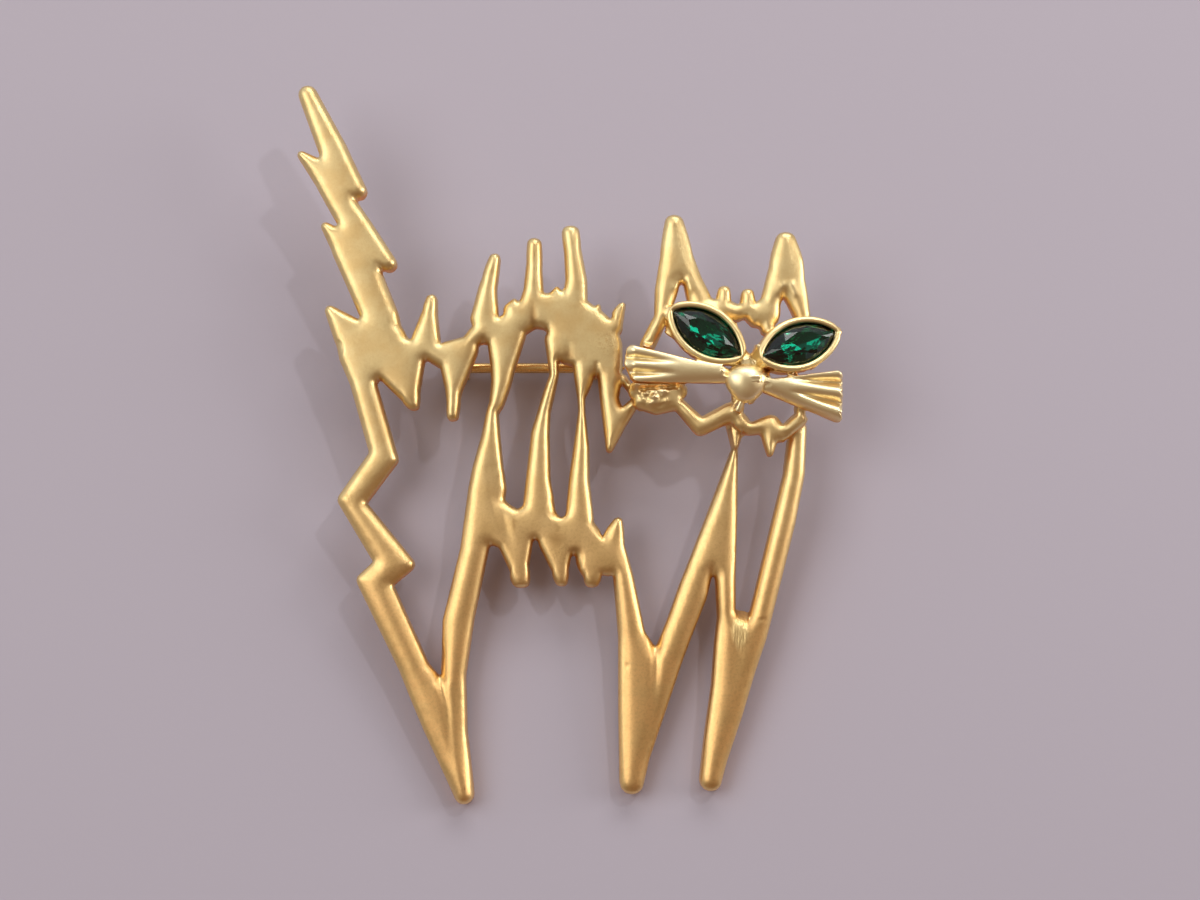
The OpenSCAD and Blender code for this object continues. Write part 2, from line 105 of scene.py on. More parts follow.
# Creases of the face, each along a few pixels, with its depth at each of them and its half width in mm.
# A ridge has a negative depth.
CREASES = [
    ([(484, 334), (484, 350)], (0, 0.16), 0.4),
    ([(533, 300), (533, 328)], (0, 0.14), 0.4),
    ([(569, 340), (569, 358)], (0, 0.1), 0.4),
    ([(597, 366), (598, 390)], (0.1, 0.4), 0.18),
    ([(441, 650), (442, 672), (450, 705), (457, 770)], (0.42, 0.28, 0.14, 0), 0.42),
    ([(452, 700), (466, 796)], (-0.02, -0.16), 0.8),
    ([(655, 640), (655, 668), (654, 690), (648, 750)], (0.32, 0.2, 0.1, 0), 0.48),
    ([(737, 640), (735, 690)], (0.12, 0), 0.6),
    ([(491, 440), (494, 470), (499, 500), (507, 530), (516, 556)], (0, 0.06, 0.13, 0.1, 0), 0.5),
    ([(711, 590), (711, 560)], (0.3, 0), 0.35),
    ([(675, 293), (679, 285)], (-0.14, -0.14), 0.32),
    ([(687, 286), (689, 294)], (-0.14, -0.14), 0.32),
    ([(778, 297), (782, 290)], (-0.13, -0.13), 0.36),
    ([(790, 290), (793, 298)], (-0.13, -0.13), 0.36),
    ([(738, 336), (744, 319)], (-0.12, -0.12), 0.22),
    ([(748, 320), (757, 332)], (-0.12, -0.12), 0.22),
    ([(641, 393), (676, 391)], (0.5, 0.35), 0.24),
    ([(627, 664), (627, 666)], (0.1, 0.1), 0.1),
    ([(597, 398), (598, 400)], (0.12, 0.12), 0.12),
    ([(756, 620), (764, 619)], (0.07, 0.07), 0.1),
]

# Painted shade in the hollows of the face over the arches and in its cracks: middle and reach in pixels
SHADED_HOLLOWS = [
    ((484, 346), (4, 15)),
    ((534, 322), (4.5, 22)),
    ((568, 360), (8, 9)),
    ((556, 540), (10, 8)),
    ((498, 553), (9, 7)),
    ((577, 552), (8, 8)),
    ((515, 525), (2, 8)),
    ((558, 531), (2, 7)),
]

# Blunt tips: middle and reach in pixels, and how much wider the tip grows there
TIPS = [
    ((492, 254), (13, 36), 0.3),
    ((536, 238), (13, 36), 0.3),
    ((571, 226), (14, 30), 0.28),
    ((622, 303), (13, 21), 0.7),
    ((522, 594), (14, 32), 0.75),
    ((562, 594), (13, 30), 0.6),
    ((594, 594), (13, 24), 0.6),
    ((615, 527), (15, 24), 0.5),
    ((676, 219), (22, 60), 0.22),
    ((788, 238), (22, 62), 0.3),
    ((722, 294), (12, 16), 0.3),
    ((746, 296), (12, 16), 0.3),
    ((431, 296), (10, 22), 0.35),
    ((455, 424), (11, 28), 0.35),
    ((413, 408), (10, 22), 0.35),
]

# Rough lumps of cast metal below the left whiskers: middle and reach in pixels, and height in mm
LUMPS = [
    ((652, 394), (17, 9), 0.26),
    ((665, 390), (9, 7), 0.22),
    ((655, 405), (13, 7), 0.16),
    ((640, 402), (6, 7), 0.12),
]
LUMP_ROUGHNESS = 0.34 * MM
LUMP_SIZE = 0.62 * MM
# The roughness grows with a point's share in its lump up to this share, and its pits are this much deeper
LUMP_FULL = 0.6
LUMP_PITS = 1.5
# Lumps rise only from what looks up, and from below this height over the whiskers' base
LUMP_UP = 0.1
LUMP_BELOW = 0.4 * MM

# Web in the fork of the foreleg: middle and reach in pixels, its height in the solid and its height here
WEB = ((738, 632), (9, 17))
WEB_LOW = 1.05 * MM
WEB_TOP = 2.02 * MM
WEB_EDGE = 2

# Places that look melted smooth, the first round the web: middle and reach in pixels
MELTED = [
    ((739, 630), (13, 24)),
    ((401, 329), (13, 17)),
    ((339, 351), (7, 10)),
    ((507, 496), (15, 20)),
    ((554, 511), (9, 12)),
    ((578, 559), (8, 12)),
    ((492, 472), (5, 6)),
]
MELTED_EDGE = 2
MELTED_ROUNDS = 40
MELTED_PUSH = 0.5

# Scuffed patches of the face: middle and reach in pixels
SCUFFS = [
    ((607, 344), (15, 12)),
    ((563, 553), (16, 11)),
    ((601, 522), (8, 10)),
    ((352, 498), (5, 8)),
    ((738, 562), (7, 16)),
]

# Whisker fans: pixel across, upper and lower pixel of the root and of the end, how far out the lobes part,
# the least height between them, and the middle and half width of each lobe as shares of half the fan's width
FANS = [
    {
        "root": (738, 367, 388),
        "end": (627, 346, 392),
        "split": 0.5,
        "floor": 0.6,
        "lobes": [(0.64, 0.4), (-0.02, 0.36), (-0.7, 0.36)],
    },
    {
        "root": (760, 377, 397),
        "end": (840, 370, 428),
        "split": 0.25,
        "floor": 0.4,
        "lobes": [(0.72, 0.32), (0.02, 0.34), (-0.7, 0.36)],
    },
]
FAN_BASE = 3.62 * MM
FAN_HEIGHT = 1.66 * MM
# What a fan takes in, as shares of its length and of half its width, and from which lean
FAN_FROM = -0.02
FAN_TO = 1.1
FAN_ACROSS = 1.25
FAN_LEAN = -0.3
# Above this lean its surface is set, and below it only held down
FAN_SET_LEAN = 0.3
# The smooth form: half its width as a share of half the fan's width, and its least height squared
FAN_ROUND = 1.12
FAN_LEAST = 0.02
# Lobes: the share of their height that doesn't follow the smooth form, and how far out they are full
LOBE_LEVEL = 0.75
LOBES_FULL = 0.95
# The end falls by this share, over this stretch of the length
FAN_FALL = 0.35
FAN_FALL_OVER = (0.93, 1.03)

# Nose: its middle in the flat frame, its half width, its reach up and down, and its half height
NOSE_PLACE = Vector((43.95, 40.75, 4.4)) * MM
NOSE_HALF_WIDTH = 2.12 * MM
NOSE_UP = 1.55 * MM
NOSE_DOWN = 2.25 * MM
NOSE_HEIGHT = 1.5 * MM
# It is wider above than below, and a little narrower at both ends
NOSE_TAPER = 0.14
NOSE_ENDS = 0.08
# Metal under the nose: how high it may stand, lower in the upper half, and how far out it is drawn in
NOSE_BED = 4.7 * MM
NOSE_BED_DROP = 0.5 * MM
NOSE_BED_REACH = 3 * MM
# It keeps this share of its distance from the nose's middle, and across the nose only this share of that
NOSE_BED_SHARE = 0.7
NOSE_BED_ACROSS = 0.75
# It is drawn in from this height over the head frame, and from a lower one beyond a corner at the lower right
NOSE_BED_LOW = 0.15 * MM
NOSE_CORNER = (0.5 * MM, -1.3 * MM)
NOSE_CORNER_LOW = -0.1 * MM
# but not between these two distances along the nose, nor this near to a stone
NOSE_BRIDGE = (-0.5 * MM, 0.4 * MM)
NOSE_TO_STONE = 0.7 * MM

# Stones: how near to a stone's end its tip counts, and how many facets lie round its table
STONE_TIP = 0.1 * MM
FACETS = 8
# Facet rings: share of the outline, and share of the height over or under the girdle
TABLE_RING = (0.53, 1.0)
STAR_RING = (0.8, 0.52)
LOWER_RINGS = [(0.76, 0.3), (0.5, 0.6), (0.25, 0.84)]

# Bezel rims: their inner and outer edge from the stone's outline, each with the share of the outline's curve
# before it turns round the stone's tip, then their rise over the girdle and half their thickness
RIM_EDGES = [(-0.05 * MM, 0.985), (0.58 * MM, 0.8)]
RIM_RISE = 0.26 * MM
RIM_HALF_HEIGHT = 0.25 * MM
RIM_SIDES = 14
# The collars of the casting are drawn in at the tips, under the rims: from where, to which share, over which
# length and half width, and above which height
COLLAR_FULL = 3.2 * MM
COLLAR_SHARE = 0.74
COLLAR_TIP = 2 * MM
COLLAR_HALF_WIDTH = 1.6 * MM
COLLAR_BASE = FRAME_TOP + 0.2 * MM

# Marks for the material: reach of the paler edges, which are partly polish and partly a painted highlight,
# lean of the sides that get painted shade, its least share and how fast it grows towards the feet, the blend
# at the whiskers, and the heights up the cat between which the gold changes
EDGE_POLISH_AND_HIGHLIGHT_REACH = 0.65 * MM
SHADED_SIDE_LEAN = 0.5
SHADED_SIDE_LEAST = 0.2
SIDE_SHADE_TO_FEET = 1.5
WHISKER_BLEND = 0.2 * MM
GOLD_CHANGES = (12 * MM, 44 * MM)


# Places on the brooch

def main_direction(faces, digits):
    """Direction that the greatest area looks in, of faces whose normals agree to so many digits."""
    areas = {}
    for face in faces:
        key = tuple(round(c, digits) for c in face.normal)
        areas[key] = areas.get(key, Vector()) + face.normal * face.area
    return max(areas.values(), key=lambda a: a.length).normalized()


def points(obj):
    """The vertices of an object as an array of rows."""
    co = np.empty(len(obj.data.vertices) * 3)
    obj.data.vertices.foreach_get("co", co)
    return co.reshape(-1, 3)


# Direction out of the face of the casting, from its flat back, which most of its lower faces share
LOWER_LEAN = 0.9
LOWER_FACES = [face for face in nodes["cat_casting"].data.polygons if face.normal.z < -LOWER_LEAN]
NORMAL = -main_direction(LOWER_FACES, digits=3)
# The flat frame: its X and Y lie in the plate, and its Z points out of the plate's face. It starts at the
# lower left corner of the casting's back.
FLAT = NORMAL.rotation_difference(Vector((0, 0, 1))).to_matrix()
FLAT_LOW = (points(nodes["cat_casting"]) @ np.array(FLAT).T).min(0)


def flattened(co):
    """Points in the flat frame."""
    return co @ np.array(FLAT).T - FLAT_LOW


def unflattened(flat):
    """Points of the flat frame in the frame of the whole."""
    return (flat + FLAT_LOW) @ np.array(FLAT)


def flat_spot(pixel):
    """Place in plan, on the casting, of a pixel of the photograph."""
    x = (pixel[0] - CORNER_PIXEL[0]) / PIXELS_PER_MM * MM
    y = (CORNER_PIXEL[1] - pixel[1]) / PIXELS_PER_MM * MM
    return x, y


def from_line(flat, start, end):
    """Distance in plan from a line between two pixels, and how far along it the nearest point lies."""
    a = np.array(flat_spot(start))
    b = np.array(flat_spot(end))
    along = np.clip((flat[:, :2] - a) @ (b - a) / ((b - a) @ (b - a)), 0, 1)
    return np.linalg.norm(flat[:, :2] - a - along[:, None] * (b - a), axis=1), along


def within(flat, middle, reach):
    """How deep each point lies in an ellipse given in pixels: 1 in the middle, 0 at its edge and outside."""
    x, y = flat_spot(middle)
    across = (flat[:, 0] - x) / (reach[0] / PIXELS_PER_MM * MM)
    along = (flat[:, 1] - y) / (reach[1] / PIXELS_PER_MM * MM)
    return np.clip(1 - across ** 2 - along ** 2, 0, 1)


def patches(flat, places, edge=1):
    """How deep each point lies in any of some ellipses. A steeper edge fills more of each ellipse."""
    return np.clip(edge * np.max([within(flat, *place) for place in places], axis=0), 0, 1)


def step_between(values, low, high):
    """Soft step from 0 at the low value to 1 at the high one."""
    share = np.clip((values - low) / (high - low), 0, 1)
    return share * share * (3 - 2 * share)


# Meshes

def new_object(name, mesh, slot, *replaced):
    obj = bpy.data.objects.new(name, mesh)
    bpy.context.scene.collection.objects.link(obj)
    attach(obj, "root")
    if replaced:
        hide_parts(*replaced)
    return obj


def new_mesh(name, bm, *materials):
    mesh = bpy.data.meshes.new(name)
    bm.to_mesh(mesh)
    for material in materials:
        mesh.materials.append(MATERIALS[material])
    return mesh


def shade_smooth(mesh):
    mesh.polygons.foreach_set("use_smooth", [True] * len(mesh.polygons))


def neighbours(mesh):
    """The edges of a mesh as rows of two vertex numbers."""
    edges = np.empty(len(mesh.edges) * 2, np.int64)
    mesh.edges.foreach_get("vertices", edges)
    return edges.reshape(-1, 2)


def vertex_normals(mesh):
    n = np.empty(len(mesh.vertices) * 3)
    mesh.vertices.foreach_get("normal", n)
    return n.reshape(-1, 3)


def set_points(mesh, co):
    mesh.vertices.foreach_set("co", co.ravel())
    mesh.update()


def with_modifier(obj, kind, **settings):
    """Applies one modifier to the object's mesh."""
    modifier = obj.modifiers.new(kind.lower(), kind)
    for key, value in settings.items():
        setattr(modifier, key, value)
    mesh = bpy.data.meshes.new_from_object(obj.evaluated_get(bpy.context.evaluated_depsgraph_get()))
    obj.modifiers.remove(modifier)
    old = obj.data
    obj.data = mesh
    bpy.data.meshes.remove(old)


def relaxed(co, edges, rounds, push=0.55, pull=-0.57):
    """Smooths away facets and voxel steps. The pull after each push keeps the form from shrinking."""
    count = len(co)
    degree = np.bincount(edges.ravel(), minlength=count)[:, None]
    for _ in range(rounds):
        for factor in (push, pull):
            total = np.empty_like(co)
            for axis in range(3):
                total[:, axis] = np.bincount(edges[:, 0], co[edges[:, 1], axis], count)
                total[:, axis] += np.bincount(edges[:, 1], co[edges[:, 0], axis], count)
            co = co + factor * (total / degree - co)
    return co


def averaged(values, edges, rounds):
    """Evens out a value over the neighbours of each point."""
    count = len(values)
    degree = np.maximum(np.bincount(edges.ravel(), minlength=count), 1)
    for _ in range(rounds):
        total = np.bincount(edges[:, 0], values[edges[:, 1]], count)
        total += np.bincount(edges[:, 1], values[edges[:, 0]], count)
        values = 0.5 * values + 0.5 * total / degree
    return values


def widest_near(away, edges, rounds):
    """Spreads each greatest distance over its surroundings, which gives about half the local width."""
    wide = away.copy()
    for _ in range(rounds):
        grown = wide.copy()
        np.maximum.at(grown, edges[:, 0], wide[edges[:, 1]])
        np.maximum.at(grown, edges[:, 1], wide[edges[:, 0]])
        wide = grown
    return averaged(wide, edges, rounds)


# Stones

class Stone:
    """Place, axes and sizes of a stone, measured from its solid."""

    def __init__(self, node):
        obj = nodes[node]
        self.out = main_direction(obj.data.polygons, digits=2)
        co = points(obj)
        middle = (co.max(0) + co.min(0)) / 2
        along = Vector(np.linalg.eigh(np.cov((co - middle).T))[1][:, -1])
        along -= self.out * along.dot(self.out)
        self.along = along.normalized() * (1 if along.x > 0 else -1)
        self.across = self.out.cross(self.along)
        self.axes = Matrix((self.along, self.across, self.out)).transposed()
        local = co @ np.array(self.axes)
        low, high = local.min(0), local.max(0)
        self.length = high[0] - low[0]
        self.width = high[1] - low[1]
        tips = local[local[:, 0] > high[0] - STONE_TIP]
        girdle_low, girdle_high = tips[:, 2].min(), tips[:, 2].max()
        girdle = (girdle_low + girdle_high) / 2
        centre = np.array([(low[0] + high[0]) / 2, (low[1] + high[1]) / 2, girdle])
        self.centre = self.axes @ Vector(centre)
        self.girdle = (girdle_high - girdle_low) / 2
        self.top = high[2] - girdle
        self.bottom = low[2] - girdle
        a, b = self.length / 2, self.width / 2
        self.radius = (a * a + b * b) / (2 * b)

    def placed(self, x, y, z):
        return self.centre + self.axes @ Vector((x, y, z))

    def edge(self, angle):
        """Point of the outline in the direction of an angle, the tips being at 0 and 180 degrees."""
        x = self.length / 2 * math.cos(angle)
        y = math.sqrt(self.radius ** 2 - x * x) - self.radius + self.width / 2
        return x, math.copysign(max(y, 0), math.sin(angle))

    def holds(self, co, margin=0.1 * MM):
        """Which points lie over or under the stone's outline."""
        local = (co - np.array(self.centre)) @ np.array(self.axes)
        reach = np.sqrt(np.maximum(self.radius ** 2 - local[:, 0] ** 2, 0)) - self.radius + self.width / 2
        return (np.abs(local[:, 0]) < self.length / 2) & (np.abs(local[:, 1]) < reach + margin)


STONES = {side: Stone("eye_stone_" + side) for side in ("left", "right")}


def covered(flat):
    """Which points lie over or under a stone."""
    co = unflattened(flat)
    return np.any([stone.holds(co) for stone in STONES.values()], axis=0)


def make_stone(side):
    """Faceted stone: its crown is glass, and its girdle and back are foiled."""
    stone = STONES[side]
    bm = bmesh.new()

    def ring(count, shift, share, height):
        made = []
        for k in range(count):
            x, y = stone.edge(math.tau * (k + shift) / count)
            made.append(bm.verts.new(stone.placed(x * share, y * share, height)))
        return made

    above = stone.top - stone.girdle
    below = stone.bottom + stone.girdle
    fine = 2 * FACETS
    table = ring(FACETS, 0, TABLE_RING[0], stone.girdle + above * TABLE_RING[1])
    stars = ring(FACETS, 0.5, STAR_RING[0], stone.girdle + above * STAR_RING[1])
    upper = ring(fine, 0, 1, stone.girdle)
    under = ring(fine, 0, 1, -stone.girdle)
    lower = []
    for k, (share, depth) in enumerate(LOWER_RINGS):
        lower.append(ring(fine, 0.5 * (k + 1), share, -stone.girdle + below * depth))
    culet = bm.verts.new(stone.placed(0, 0, stone.bottom))
    bm.faces.new(table)
    for k in range(FACETS):
        n = (k + 1) % FACETS
        bm.faces.new((table[n], table[k], stars[k]))
        bm.faces.new((table[k], stars[k - 1], upper[2 * k], stars[k]))
        bm.faces.new((stars[k], upper[2 * k], upper[2 * k + 1]))
        bm.faces.new((stars[k], upper[2 * k + 1], upper[(2 * k + 2) % fine]))
    back = []
    for k in range(fine):
        n = (k + 1) % fine
        back.append(bm.faces.new((upper[k], upper[n], under[n], under[k])))
        for over, beneath in zip([under] + lower, lower):
            back.append(bm.faces.new((over[k], over[n], beneath[k])))
            back.append(bm.faces.new((beneath[k], over[n], beneath[n])))
        back.append(bm.faces.new((lower[-1][k], lower[-1][n], culet)))
    for face in back:
        face.material_index = 1
    bmesh.ops.recalc_face_normals(bm, faces=bm.faces)
    mesh = new_mesh("stone_" + side, bm, "glass", "foil")
    new_object("stone_" + side, mesh, "green_glass", "eye_stone_" + side)


def rim_path(stone, away, share, steps=28, turn_steps=8):
    """Closed path round the stone, at a distance from its outline and rounded at its tips."""
    r, half = stone.radius, stone.width / 2
    sweep = share * math.asin(stone.length / 2 / r)
    to_axis = (r - half) / math.cos(sweep)
    path = []
    for side in (1, -1):
        for i in range(steps + 1):
            a = sweep * (1 - 2 * i / steps)
            path.append((side * (r + away) * math.sin(a), side * ((r + away) * math.cos(a) - r + half)))
        reach = r - to_axis + away
        for i in range(1, turn_steps):
            a = math.pi / 2 + sweep + (math.pi - 2 * sweep) * i / turn_steps
            x = reach * math.cos(a) - to_axis * math.sin(sweep)
            path.append((side * x, side * reach * math.sin(a)))
    return path


def make_rim(side):
    """Burnished rim of a bezel, folded a little over the stone's edge."""
    stone = STONES[side]
    bm = bmesh.new()
    rings = []
    for (x0, y0), (x1, y1) in zip(*[rim_path(stone, *edge) for edge in RIM_EDGES]):
        made = []
        for k in range(RIM_SIDES):
            angle = math.tau * k / RIM_SIDES
            out = (1 + math.cos(angle)) / 2
            up = RIM_RISE + RIM_HALF_HEIGHT * math.sin(angle)
            made.append(bm.verts.new(stone.placed(x0 + (x1 - x0) * out, y0 + (y1 - y0) * out, up)))
        rings.append(made)
    for i, made in enumerate(rings):
        after = rings[(i + 1) % len(rings)]
        for k in range(RIM_SIDES):
            n = (k + 1) % RIM_SIDES
            bm.faces.new((made[k], made[n], after[n], after[k]))
    bmesh.ops.recalc_face_normals(bm, faces=bm.faces)
    mesh = new_mesh("rim_" + side, bm, "rim")
    shade_smooth(mesh)
    new_object("bezel_rim_" + side, mesh, "gold_plate")


# Casting

def near_walls(walls, places):
    """For each place, the nearest wall point in plan."""
    tree = KDTree(len(walls))
    for i, p in enumerate(walls):
        tree.insert((p[0], p[1], 0), i)
    tree.balance()
    return walls[[tree.find((p[0], p[1], 0))[1] for p in places], :2]


def walls_and_faces(flat, up, level, least_up):
    """Which points lie on the walls of one level, and which on its faces."""
    wall_low, wall_high, face_low, face_high, _ = level
    wall = (np.abs(up) < WALL_LEAN) & (flat[:, 2] > wall_low) & (flat[:, 2] < wall_high)
    face = (up > least_up) & (flat[:, 2] > face_low) & (flat[:, 2] < face_high)
    return wall, face


def roll_width(flat, half, top):
    """Width of the rolled edge at points of a face, from half the local width of the metal."""
    if top == FRAME_TOP:
        widest = HEAD_ROLL
    else:
        widest = LEG_ROLL + (PLATE_ROLL - LEG_ROLL) * step_between(flat[:, 1], *ROUND_BELOW)
        widest += (BELLY_ROLL - widest) * patches(flat, [BELLY], BELLY_EDGE)
    return np.clip(ROLL_SHARE * half, LEAST_ROLL, widest)


def roll_faces(flat, up, edges, level):
    """Gives the faces of one level their rolled edges and their low crown."""
    wall, face = walls_and_faces(flat, up, level, FACE_LEAN)
    face &= ~covered(flat)
    top = level[-1]
    nearest = near_walls(flat[wall], flat[face])
    step = flat[face, :2] - nearest
    away = np.maximum(np.linalg.norm(step, axis=1), LEAST_AWAY)
    everywhere = np.zeros(len(flat))
    everywhere[face] = away
    inner = edges[face[edges[:, 0]] & face[edges[:, 1]]]
    half = widest_near(everywhere, inner, HALF_WIDTH_ROUNDS)[face]
    width = roll_width(flat[face], half, top)
    across = np.clip(1 - away / width, 0, 1)
    rise = np.clip((flat[face, 2] - top + ROLL_HEIGHT) / ROLL_HEIGHT, *RISE_LIMITS)
    norm = np.hypot(across, rise)
    rolled = (across > 0)[:, None]
    moved = nearest + step * (width * (1 - across / norm) / away)[:, None]
    flat[face, :2] = np.where(rolled, moved, flat[face, :2])
    broad = 1 - np.clip(away / np.clip(CROWN_SHARE * half, *CROWN_REACH), 0, 1)
    flat[face, 2] = top - ROLL_HEIGHT * (1 - rise / norm) + CROWN * (1 - broad ** 2)
    return face


def cut_creases(flat, face):
    """Sinks the creases of the faces and lifts their ridges."""
    for line, depths, width in CREASES:
        nearest = np.full(len(flat), np.inf)
        place = np.zeros(len(flat))
        for k in range(len(line) - 1):
            away, along = from_line(flat, line[k], line[k + 1])
            place = np.where(away < nearest, k + along, place)
            nearest = np.minimum(away, nearest)
        depth = np.interp(place, range(len(line)), depths) * MM
        flat[:, 2] -= np.where(face, depth * np.exp(-(nearest / (width * MM)) ** 2), 0)


def raise_lumps(flat, up):
    """Rough lumps of cast metal where the chin meets the left whiskers."""
    top = (up > LUMP_UP) & (flat[:, 2] < FAN_BASE + LUMP_BELOW)
    for middle, reach, height in LUMPS:
        share = np.sqrt(within(flat, middle, reach)) * top
        flat[:, 2] += share * height * MM
        for i in np.nonzero(share)[0]:
            spot = Vector(flat[i]) / LUMP_SIZE
            grain = noise.noise(spot) + 0.5 * noise.noise(spot * 2)
            relief = grain if grain > 0 else LUMP_PITS * grain
            flat[i, 2] += min(share[i], LUMP_FULL) * LUMP_ROUGHNESS * relief


def draw_in_collars(flat):
    """Rounds the tips of the casting's collars round the stones."""
    for stone in STONES.values():
        axes = np.array(stone.axes)
        middle = np.array(stone.centre)
        local = (unflattened(flat) - middle) @ axes
        beyond = np.abs(local[:, 0]) - COLLAR_FULL
        tip = (beyond > 0) & (beyond < COLLAR_TIP)
        tip &= (np.abs(local[:, 1]) < COLLAR_HALF_WIDTH) & (flat[:, 2] > COLLAR_BASE)
        local[tip, 0] -= np.sign(local[tip, 0]) * beyond[tip] * (1 - COLLAR_SHARE)
        flat[tip] = flattened(local[tip] @ axes.T + middle)


def blunt_tips(flat):
    """Widens the tips of the spikes, teeth and ears."""
    for middle, reach, wider in TIPS:
        flat[:, 0] += (flat[:, 0] - flat_spot(middle)[0]) * wider * within(flat, middle, reach)


def seat_nose(flat):
    """Draws the metal under the nose in, so that the nose covers it."""
    x, y, _ = NOSE_PLACE
    across, along = flat[:, 0] - x, flat[:, 1] - y
    corner = (across > NOSE_CORNER[0]) & (along < NOSE_CORNER[1])
    bed = flat[:, 2] > FRAME_TOP + np.where(corner, NOSE_CORNER_LOW, NOSE_BED_LOW)
    bed &= (np.hypot(across, along) < NOSE_BED_REACH) & (np.abs(across) < NOSE_HALF_WIDTH)
    bed &= (along < NOSE_BRIDGE[0]) | (along > NOSE_BRIDGE[1])
    co = unflattened(flat)
    for stone in STONES.values():
        bed &= ~stone.holds(co, NOSE_TO_STONE)
    flat[bed, 0] = x + across[bed] * NOSE_BED_SHARE * NOSE_BED_ACROSS
    flat[bed, 1] = y + along[bed] * NOSE_BED_SHARE
    flat[bed, 2] = np.minimum(flat[bed, 2], np.where(along[bed] > 0, NOSE_BED - NOSE_BED_DROP, NOSE_BED))


def raise_web(flat, up):
    """Brings the web in the fork of the foreleg nearer to the face."""
    web = (within(flat, *WEB) > 0) & (flat[:, 2] > WEB_LOW) & (flat[:, 2] < WEB_TOP)
    flat[web, 2] = WEB_TOP
    up[web] = 1


def fan_end(pixels):
    """Place across, upper and lower edge, in plan, of one end of a fan."""
    x, high = flat_spot((pixels[0], pixels[1]))
    return x, high, flat_spot((pixels[0], pixels[2]))[1]


def shape_fan(flat, up, fan):
    """Fluted fan of whiskers: lobes at its end that run out into one smooth form towards the nose."""
    root_x, root_high, root_low = fan_end(fan["root"])
    end_x, end_high, end_low = fan_end(fan["end"])
    out = (flat[:, 0] - root_x) / (end_x - root_x)
    high = root_high + (end_high - root_high) * out
    low = root_low + (end_low - root_low) * out
    across = (flat[:, 1] - (high + low) / 2) / ((high - low) / 2)
    inside = (flat[:, 2] > FAN_BASE) & (out > FAN_FROM) & (out < FAN_TO)
    inside &= (np.abs(across) < FAN_ACROSS) & (up > FAN_LEAN) & ~covered(flat)
    u, v = out[inside], across[inside]
    one = np.sqrt(np.clip(1 - (v / FAN_ROUND) ** 2, FAN_LEAST, 1))
    many = np.zeros_like(v)
    for middle, reach in fan["lobes"]:
        lobe = np.sqrt(np.clip(1 - ((v - middle) / reach) ** 2, 0, 1))
        many = np.maximum(many, lobe * (LOBE_LEVEL + (1 - LOBE_LEVEL) * one))
    many = np.maximum(many, fan["floor"] * one)
    split = step_between(u, fan["split"], LOBES_FULL)
    fall = 1 - FAN_FALL * step_between(u, *FAN_FALL_OVER)
    target = FAN_BASE + FAN_HEIGHT * (one + (many - one) * split) * fall
    held = np.minimum(flat[inside, 2], target)
    flat[inside, 2] = np.where(up[inside] > FAN_SET_LEAN, target, held)


def smoothed(flat, edges):
    """Smooths the body well and the whiskers a little, and melts a few places of the body."""
    body = relaxed(flat, edges, BODY_ROUNDS)
    head = relaxed(flat, edges, HEAD_ROUNDS)
    molten = relaxed(body, edges, MELTED_ROUNDS, push=MELTED_PUSH, pull=0)
    melted = patches(flat, MELTED, MELTED_EDGE)[:, None]
    low = (flat[:, 2] < WHISKER_LEVEL)[:, None]
    return np.where(low, body + melted * (molten - body), head)


def make_casting():
    """The cat's metal: its solid with finely rolled and crowned faces, creases and fluted whiskers."""
    obj = new_object("cat_metal", nodes["cat_casting"].data.copy(), "gold_plate", "cat_casting")
    obj.data.materials.clear()
    with_modifier(obj, "REMESH", mode="VOXEL", voxel_size=VOXEL)
    mesh = obj.data
    edges = neighbours(mesh)
    set_points(mesh, relaxed(points(obj), edges, VOXEL_ROUNDS))

    flat = flattened(points(obj))
    up = vertex_normals(mesh) @ np.array(NORMAL)
    raise_web(flat, up)
    for level in LEVELS:
        face = roll_faces(flat, up, edges, level)
        flat[:, 2] = np.where(face, averaged(flat[:, 2], edges, FACE_ROUNDS), flat[:, 2])
        cut_creases(flat, face)
    for fan in FANS:
        shape_fan(flat, up, fan)
    raise_lumps(flat, up)
    seat_nose(flat)
    draw_in_collars(flat)
    blunt_tips(flat)
    set_points(mesh, unflattened(smoothed(flat, edges)))

    triangles = sum(len(p.vertices) - 2 for p in mesh.polygons)
    with_modifier(obj, "DECIMATE", ratio=min(1, FACES / triangles))
    mesh = obj.data
    shade_smooth(mesh)
    mesh.materials.append(MATERIALS["satin"])
    mark_surface(mesh, flattened(points(obj)), vertex_normals(mesh) @ np.array(FLAT).T)


